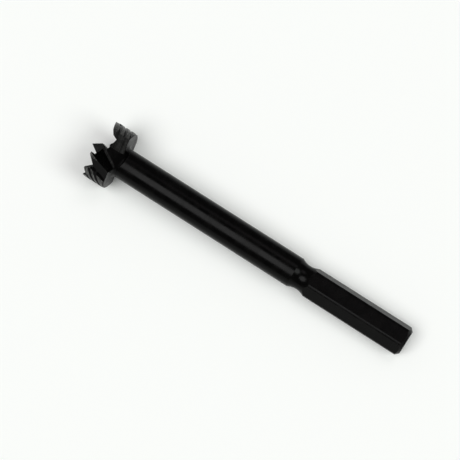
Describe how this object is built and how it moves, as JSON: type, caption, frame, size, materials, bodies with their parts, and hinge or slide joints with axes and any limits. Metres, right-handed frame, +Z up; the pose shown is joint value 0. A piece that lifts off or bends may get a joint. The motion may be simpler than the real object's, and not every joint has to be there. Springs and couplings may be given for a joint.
{
  "type": "forstner bit",
  "caption": "Small forstner drill bit with a toothed rim, centre spur, chip mouths, round shank, neck and hexagon end, lying at rest; it bores flat-bottomed holes in wood.",
  "frame": {"origin": "centre of the bounding box on the floor, with the bit lying as it comes to rest", "axes": "+X towards the spur, along the bit; +Z up; the bit's own axis rises by about 2 degrees towards the head"},
  "size_m": [0.0928, 0.0158, 0.0139],
  "materials": {
    "black_steel": "satin black oxide on ground tool steel"
  },
  "bodies": {
    "root": {"bit": "black_steel"}
  },
  "joints": []
}
